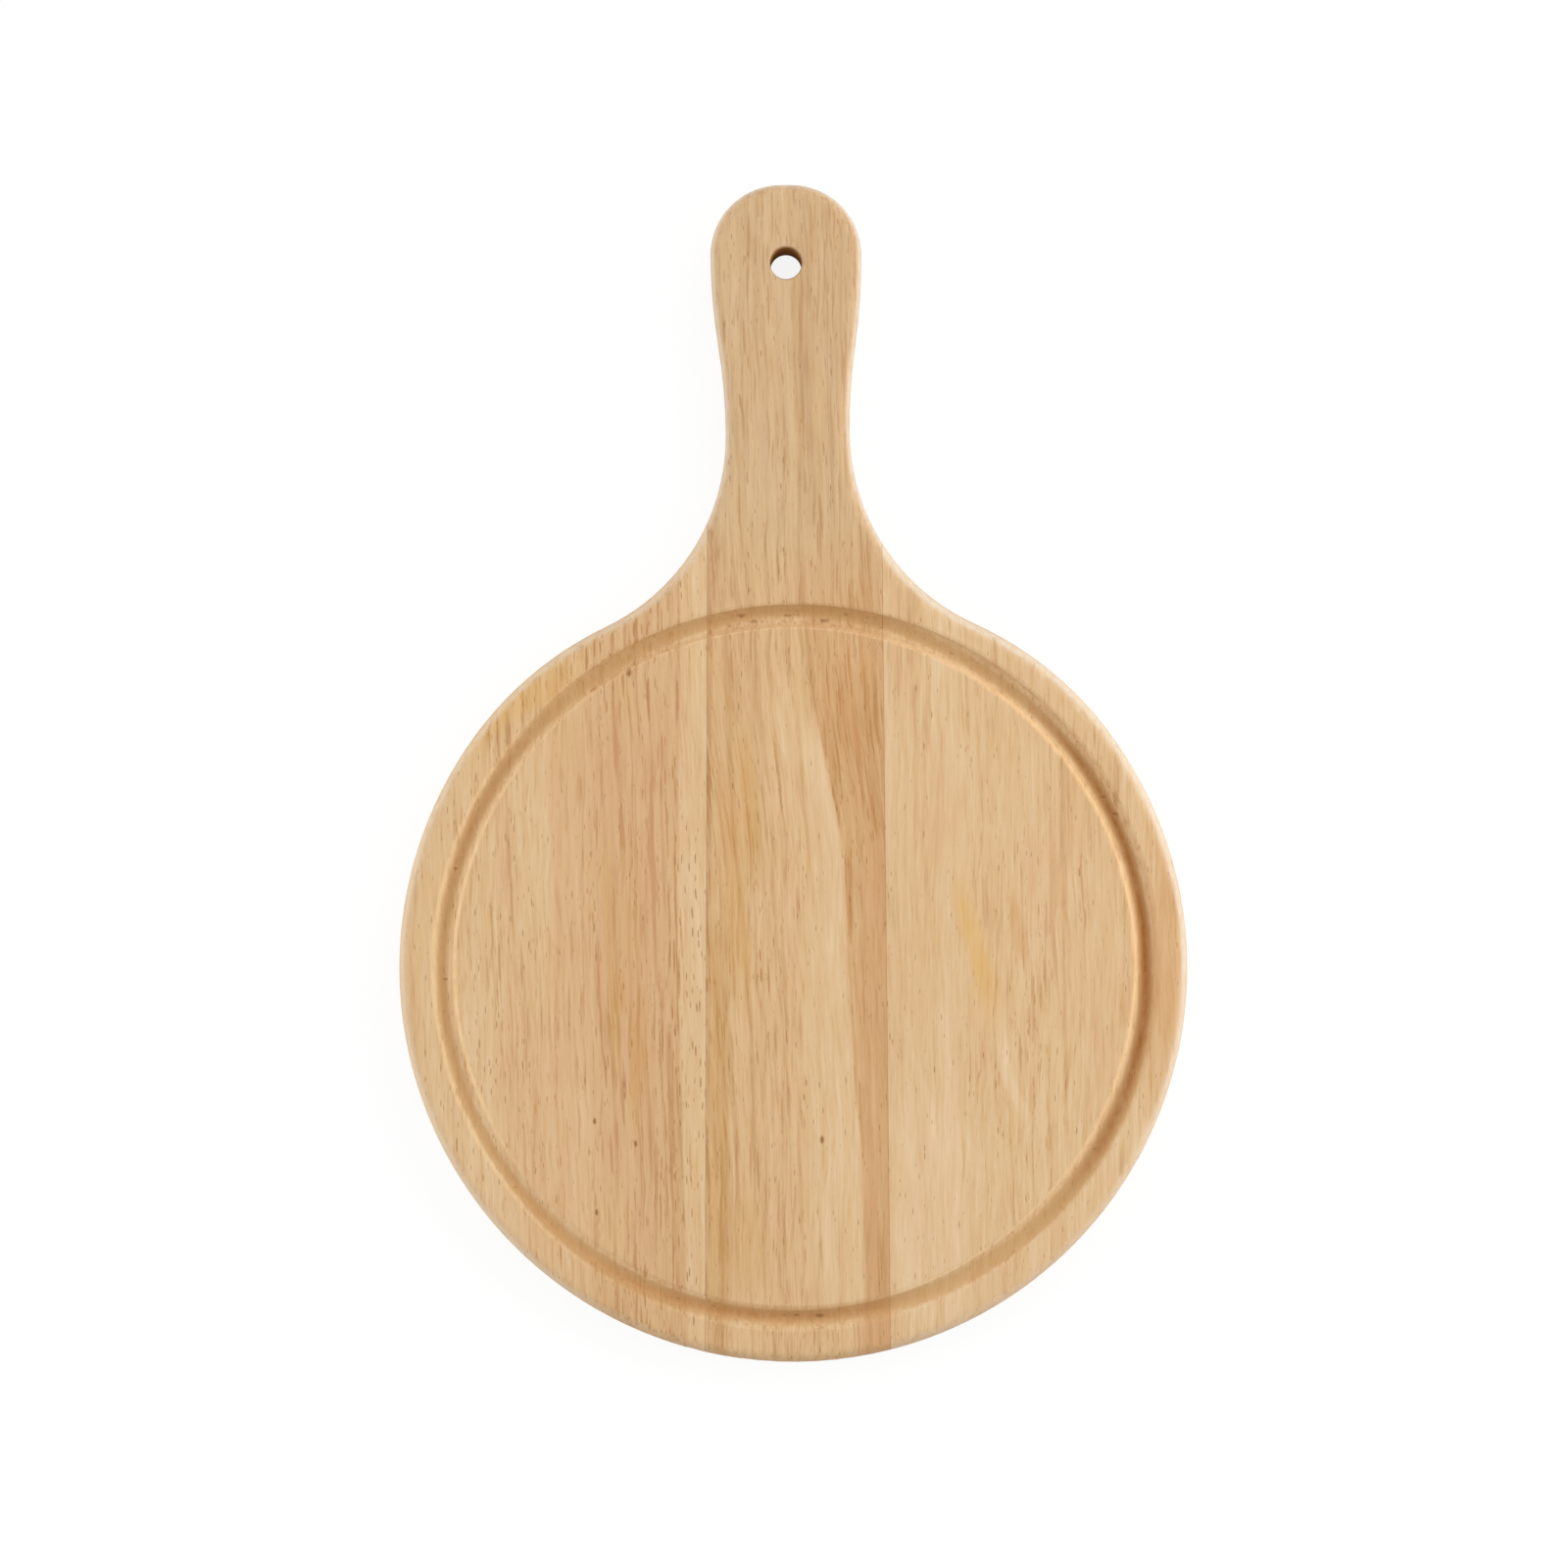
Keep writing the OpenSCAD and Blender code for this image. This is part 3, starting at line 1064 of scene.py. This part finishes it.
def handle_wood() -> Rubberwood:
    """Picks the middle stave's wood: a change from pale to darker wood wanders up into the grip.

    Returns:
        The wood.
    """
    golden, russet = from_screen(209, 160, 96), from_screen(204, 150, 96)
    # The second colour here is the grip's painted shade
    rosy, dimmed = from_screen(212, 168, 126), from_screen(207, 179, 144)
    streaks = (
        Streak(beside(NATURAL_EDGE, 20.0), 20.0, tone=0.21, lined=0.3, soft=0.8, high=175.0),
        Streak(straight(33.0), 8.0, lined=-0.4, tint=(rosy, 0.35), high=40.0, soft=2.0),
        Streak(beside(NATURAL_EDGE, 20.0), 20.0, tone=0.22, lined=0.6, low=175.0, soft=0.8),
        Streak(beside(NATURAL_EDGE, 0.6), 0.5, tone=0.3, soft=0.6, low=-130.0, high=250.0),
        Streak(beside(NATURAL_EDGE, -9.0), 9.0, tone=-0.24, lined=-0.25, low=-130.0, high=108.0, soft=3.0),
        Streak(beside(NATURAL_EDGE, -5.0), 4.0, tone=-0.16, lined=-0.3, low=-90.0, high=96.0, soft=1.5),
        Streak(((60.0, 27.0), (120.0, 24.0)), 8.0, tone=0.12, lined=0.8, low=62.0, high=112.0, soft=3.0),
        stripe(22.5, 5.0, 80.0, 104.0, tone=0.1, lined=2.2, tint=(russet, 0.35), soft=2.0),
        Streak(((98.0, 14.5), (70.0, 16.8)), 0.8, tone=0.4, low=68.0, high=98.0, fade=6.0, soft=0.8),
        Streak(((100.0, 24.2), (74.0, 25.6)), 0.9, tone=0.45, low=72.0, high=100.0, fade=6.0, soft=0.8),
        Streak(((152.0, 26.8), (137.0, 29.6)), 1.2, tone=0.35, low=137.0, high=153.0, fade=5.0, soft=0.9),
        Streak(beside(NATURAL_EDGE, 15.0), 15.0, tint=(russet, 0.3), high=160.0, soft=2.0),
        stripe(30.0, 5.0, -150.0, -95.0, tone=0.12, soft=1.5),
        stripe(24.0, 3.0, -150.0, -133.0, tone=0.15, tint=(rosy, 0.4), fade=4.0),
        Streak(straight(-20.0, -0.06), 4.5, tint=(golden, 0.4), low=-8.0, high=75.0, soft=3.0),
        stripe(-20.0, 9.0, 85.0, 128.0, tone=0.06, tint=(rosy, 0.35), soft=4.0),
        Streak(((37.0, -14.5), (82.0, -17.5)), 3.0, tone=0.15, tint=(golden, 0.5), low=37.0, high=82.0),
        Streak(((-127.0, -29.7), (14.0, -28.2)), 3.6, tone=0.16, tint=(golden, 0.3), low=-128.0, high=12.0),
        Streak(
            ((10.0, -29.3), (-36.0, -27.4), (-92.0, -26.2)), 1.1, tone=0.34, low=-92.0, high=10.0, soft=0.9
        ),
        stripe(-27.1, 1.5, -111.0, -98.0, tone=0.35, fade=5.0),
        Streak(((-60.0, -22.8), (-93.0, -21.4)), 0.7, tone=0.3, low=-93.0, high=-62.0, fade=8.0, soft=0.7),
        Streak(((-67.0, 1.5), (-112.0, 2.6)), 0.7, tone=0.3, low=-112.0, high=-67.0, fade=10.0, soft=0.7),
        stripe(10.6, 1.0, -76.0, -66.0, tone=0.35, fade=4.0),
        stripe(-29.0, 3.0, 5.0, 15.0, tone=0.3, fade=5.0),
        Streak(((-130.0, -34.0), (165.0, -30.3)), 1.0, tone=0.4, lined=0.6, low=-102.0, high=160.0, soft=0.7),
        stripe(-30.0, 3.5, -150.0, -121.0, tone=0.35, fade=5.0, soft=1.5),
        stripe(-28.5, 4.0, -120.0, -92.0, tone=0.14, fade=6.0),
        stripe(-18.0, 6.5, -120.0, -92.0, tone=0.13, tint=(golden, 0.3), soft=2.5),
        stripe(10.5, 6.0, -118.0, -45.0, tone=-0.22, soft=3.0),
        stripe(32.0, 2.5, -92.0, -40.0, tone=-0.2),
        stripe(-26.5, 3.0, 138.0, 165.0, tone=0.35, fade=6.0),
        stripe(9.0, 2.5, 138.0, 165.0, tone=-0.35, fade=6.0),
        stripe(-4.5, 3.0, 138.0, 165.0, tone=-0.14, fade=6.0),
        Streak(
            ((-5.0, -17.4), (50.0, -22.0), (126.0, -23.6)), 1.0, tone=0.5, low=-20.0, high=125.0, soft=0.9
        ),
        Streak(((-30.0, -16.0), (-90.0, -14.5)), 1.0, tone=0.4, low=-88.0, high=-26.0, soft=0.9),
        Streak(((-40.0, -9.0), (90.0, -16.0)), 5.0, lined=0.8, low=-30.0, high=85.0, soft=3.0),
        # Painted shade: the grip is tinted darker and greyer, as if less light fell there; its lines are the
        # wood's own
        Streak(straight(0.0), 60.0, lined=0.6, tint=(dimmed, 0.4), low=150.0, fade=30.0),
    )
    return Rubberwood(
        name="handle_rubberwood",
        slot="handle_wood",
        seed=4.7,
        shift=0.04,
        rings=Rings(heart_x=-240.0, heart_z=-30.0, spacing=6.0, strength=0.12, wander=3.0),
        flow=NATURAL_EDGE,
        flow_share=0.55,
        lined=0.9,
        # The rim's painted highlight, narrower on this stave
        rim=Rim(rounded=Ramp(0.08, 0.5), shown=Ramp(0.5, 0.9, 1.0, 0.2), highlight_share=0.65, pale=RIM_HIGHLIGHT),
        streaks=streaks,
        specks=(Speck(10.2, -64.9, 1.1),),
        hole=Hole(),
    )


def right_wood() -> Rubberwood:
    """Picks the right stave's wood: pale straw with an arched figure and an orange patch.

    Returns:
        The wood.
    """
    orange, rust, peach = from_screen(223, 178, 106), from_screen(208, 150, 90), from_screen(218, 172, 124)
    streaks = (
        stripe(48.0, 14.0, -110.0, 110.0, lined=-0.45, soft=5.0),
        stripe(88.0, 10.0, -100.0, 60.0, lined=0.7, soft=6.0),
        Streak(
            ((-15.0, 74.5), (26.0, 65.0)), 4.0, tone=0.06, tint=(orange, 0.6), low=-15.0, high=28.0, soft=2.5
        ),
        Streak(((0.0, 87.0), (24.0, 84.0)), 2.4, tone=0.15, tint=(rust, 0.4), low=4.0, high=26.0, fade=6.0),
        stripe(126.0, 3.0, -22.0, -8.0, tone=0.12, tint=(rust, 0.4), fade=6.0),
        stripe(105.0, 3.5, -70.0, -42.0, tone=0.12, lined=0.4, soft=2.0),
        Streak(
            ((-62.0, 88.0), (-40.0, 80.5), (-12.0, 77.0)), 2.2, tone=-0.5, low=-58.0, high=-14.0, fade=8.0
        ),
        Streak(((40.0, 58.0), (70.0, 56.0)), 9.0, tint=(peach, 0.35), low=42.0, high=66.0, soft=6.0),
        stripe(43.0, 5.0, 37.0, 95.0, tone=-0.14, soft=3.0),
        stripe(57.0, 9.0, -75.0, -14.0, tone=-0.14, soft=5.0),
        stripe(78.0, 46.0, -125.0, -55.0, tone=-0.14, fade=25.0, soft=12.0),
        stripe(50.0, 13.0, -145.0, -45.0, tone=-0.2, soft=4.0),
        stripe(100.0, 1.4, -68.0, -20.0, tone=-0.25),
        stripe(102.8, 0.7, -60.0, 80.0, tone=0.4, soft=0.7),
        stripe(108.0, 3.0, 44.0, 81.0, tone=0.1, tint=(peach, 0.4), soft=2.0),
        stripe(144.0, 9.0, -45.0, 60.0, tint=(rust, 0.35), fade=30.0, soft=5.0),
    )
    return Rubberwood(
        name="right_rubberwood",
        slot="right_wood",
        seed=8.1,
        shift=-0.1,
        rings=Rings(
            heart_x=62.0, heart_z=-22.0, lean_x=0.02, lean_z=0.12, spacing=7.5, strength=0.13, wander=4.0
        ),
        flow=straight(0.0),
        lean=-0.01,
        lined=0.65,
        # The rim's painted highlight, as it falls on this stave
        rim=Rim(rounded=Ramp(-0.02, 0.2), lit_along=Ramp(-110.0, -20.0, 0.4, 1.0), highlight_share=0.72, pale=RIM_HIGHLIGHT),
        streaks=streaks,
    )


@dataclass(frozen=True)
class Piece:
    """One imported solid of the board, which keeps its shape and gets a finish."""

    node: str
    finish: Union[Rubberwood, Glue]

    def dress(self) -> None:
        """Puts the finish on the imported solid, with one material for all pieces that share it."""
        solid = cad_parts[self.node]
        material = bpy.data.materials.get(self.finish.name) or self.finish.material()
        for slot in solid.material_slots:
            slot.material = material
        LOG.info("%s: dressed in %s", self.node, self.finish.name)


@dataclass(frozen=True)
class Stave(Piece):
    """One stave of the board, with its own piece of wood."""

    finish: Rubberwood


@dataclass(frozen=True)
class GlueLine(Piece):
    """The thin film of hardened glue between two staves."""

    finish: Glue = Glue()


@dataclass(frozen=True)
class Board:
    """The whole board: three staves and the two glue lines between them, from left to right."""

    pieces: tuple[Piece, ...] = (
        Stave("left_stave", left_wood()),
        GlueLine("left_glue_line"),
        Stave("handle_stave", handle_wood()),
        GlueLine("right_glue_line"),
        Stave("right_stave", right_wood()),
    )

    def build(self) -> None:
        """Dresses each piece in turn."""
        for piece in self.pieces:
            piece.dress()


@dataclass(frozen=True)
class Lamp:
    """One wide soft lamp, which points at the board, with its places and its size in metres."""

    name: str
    place: Place
    size: float
    power: float
    target: Place = (0.0, 0.05, 0.0)

    def hang(self) -> None:
        """Hangs the lamp, out of the camera's sight."""
        lamp = bpy.data.lights.new(self.name, "AREA")
        lamp.shape, lamp.size, lamp.energy = "SQUARE", self.size, self.power
        holder = bpy.data.objects.new(self.name, lamp)
        holder.location = self.place
        aim = Vector(self.target) - Vector(self.place)
        holder.rotation_euler = aim.to_track_quat("-Z", "Y").to_euler()
        holder.visible_camera = False
        bpy.context.scene.collection.objects.link(holder)


def seen_directly(sheet: Sheet) -> Socket:
    """Is 1 for what the camera sees, also in a reflection or through glass.

    Args:
        sheet: The sheet of the floor or of the room.

    Returns:
        The level.
    """
    path = sheet.add("LightPath").outputs
    seen = sheet.sum(Op.MAXIMUM, path["Is Camera Ray"], path["Is Glossy Ray"])
    return sheet.sum(Op.MAXIMUM, seen, path["Is Transmission Ray"])


@dataclass(frozen=True)
class Floor:
    """The pale floor, just under the board, with its sizes in metres.

    Paint is how much light it gives back, and seen_paint and seen_glow are how it looks to the camera.
    """

    name: str = "studio_floor"
    half: float = 6.0
    low: float = -0.0001
    paint: float = 0.8
    seen_paint: float = 0.14
    seen_glow: float = 0.88

    def build(self) -> None:
        """Lays the floor."""
        half, low = self.half, self.low
        mesh = bpy.data.meshes.new(self.name)
        corners = [(-half, -half, low), (half, -half, low), (half, half, low), (-half, half, low)]
        mesh.from_pydata(corners, [], [(0, 1, 2, 3)])
        mesh.materials.append(self._material())
        floor = bpy.data.objects.new(self.name, mesh)
        bpy.context.scene.collection.objects.link(floor)

    def _material(self) -> bpy.types.Material:
        """Makes a plain paint that looks white to the camera, and still shows the board's shadow.

        Returns:
            The material.
        """
        material = bpy.data.materials.new(self.name)
        sheet = Sheet(material)
        seen = seen_directly(sheet)
        glow = sheet.add("Emission")
        paint = sheet.add("BsdfDiffuse", sheet.lay(seen, (self.paint,) * 3, (self.seen_paint,) * 3))
        sheet.feed(glow.inputs["Strength"], sheet.product(seen, self.seen_glow))
        both = sheet.add("AddShader", paint.outputs[0], glow.outputs[0])
        sheet.add("OutputMaterial", both.outputs[0])
        return material


@dataclass(frozen=True)
class Camera:
    """The camera above the board, turned as the photograph's is, with its place in millimetres."""

    place: Place = (-2.8, 70.0, 922.5)
    roll: float = math.radians(-0.6)
    lens: float = 55.0
    sensor: float = 36.0
    clip: tuple[float, float] = (0.01, 50.0)

    def build(self) -> None:
        """Sets the camera up."""
        camera = bpy.data.cameras.new("camera")
        camera.lens, camera.sensor_width = self.lens, self.sensor
        camera.clip_start, camera.clip_end = self.clip
        holder = bpy.data.objects.new("camera", camera)
        holder.location = Vector(self.place) * MM
        holder.rotation_euler = Euler((0.0, 0.0, self.roll))
        bpy.context.scene.collection.objects.link(holder)
        bpy.context.scene.camera = holder


@dataclass(frozen=True)
class Studio:
    """A pale floor and a white room with soft lamps and the camera."""

    floor: Floor = Floor()
    camera: Camera = Camera()
    lamps: tuple[Lamp, ...] = (
        Lamp("far_lamp", (0.8, 1.35, 0.9), 1.2, 9.0),
        Lamp("right_lamp", (1.5, 0.1, 0.6), 0.9, 13.5),
        Lamp("left_lamp", (-1.5, 0.1, 0.6), 0.9, 10.5),
    )
    room_light: float = 0.7

    def build(self) -> None:
        """Makes the floor, the light and the camera."""
        self.floor.build()
        for lamp in self.lamps:
            lamp.hang()
        self._surround()
        self.camera.build()

    def _surround(self) -> None:
        """Surrounds the scene with white, dimmer as a light than it looks."""
        world = bpy.data.worlds.new("white_room")
        bpy.context.scene.world = world
        sheet = Sheet(world)
        back = sheet.add("Background")
        level = sheet.sum(Op.MULTIPLY_ADD, seen_directly(sheet), 1 - self.room_light, self.room_light)
        sheet.feed(back.inputs["Strength"], level)
        sheet.add("OutputWorld", back.outputs[0])


def main() -> None:
    """Builds the board and its studio."""
    logging.basicConfig(level=logging.INFO, format="%(message)s")
    bpy.context.scene.view_settings.view_transform = "Standard"
    Studio().build()
    Board().build()


if __name__ == "__main__":
    main()
